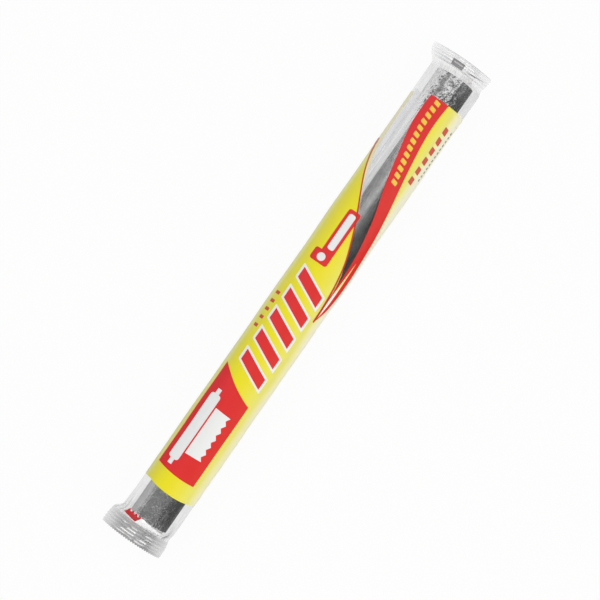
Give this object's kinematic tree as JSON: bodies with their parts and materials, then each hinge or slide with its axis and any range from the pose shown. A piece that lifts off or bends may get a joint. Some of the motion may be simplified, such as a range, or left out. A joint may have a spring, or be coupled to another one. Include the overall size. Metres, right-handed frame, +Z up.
{
  "type": "aluminium foil roll",
  "caption": "New roll of kitchen aluminium foil on a paper core, sealed in a clear printed film sleeve with crimped, toothed end seals.",
  "frame": {"origin": "on the surface that the pack rests on, under the middle of the roll's axis", "axes": "+X along the roll, +Z up; +Y across, so that +Z faces the viewer of the printed front"},
  "size_m": [0.331, 0.039, 0.0251],
  "materials": {
    "clear_film": "thin clear film, glossy",
    "foil": "bright foil, lightly creased",
    "cardboard": "plain grey-brown board",
    "yellow_ink": "gloss print on film",
    "red_ink": "gloss print on film",
    "white_ink": "gloss print on film"
  },
  "bodies": {
    "root": {"film_wrapper": "clear_film", "foil_roll": "foil", "cardboard_core": "cardboard", "yellow_print": "yellow_ink", "red_print": "red_ink", "white_print": "white_ink"}
  },
  "joints": []
}
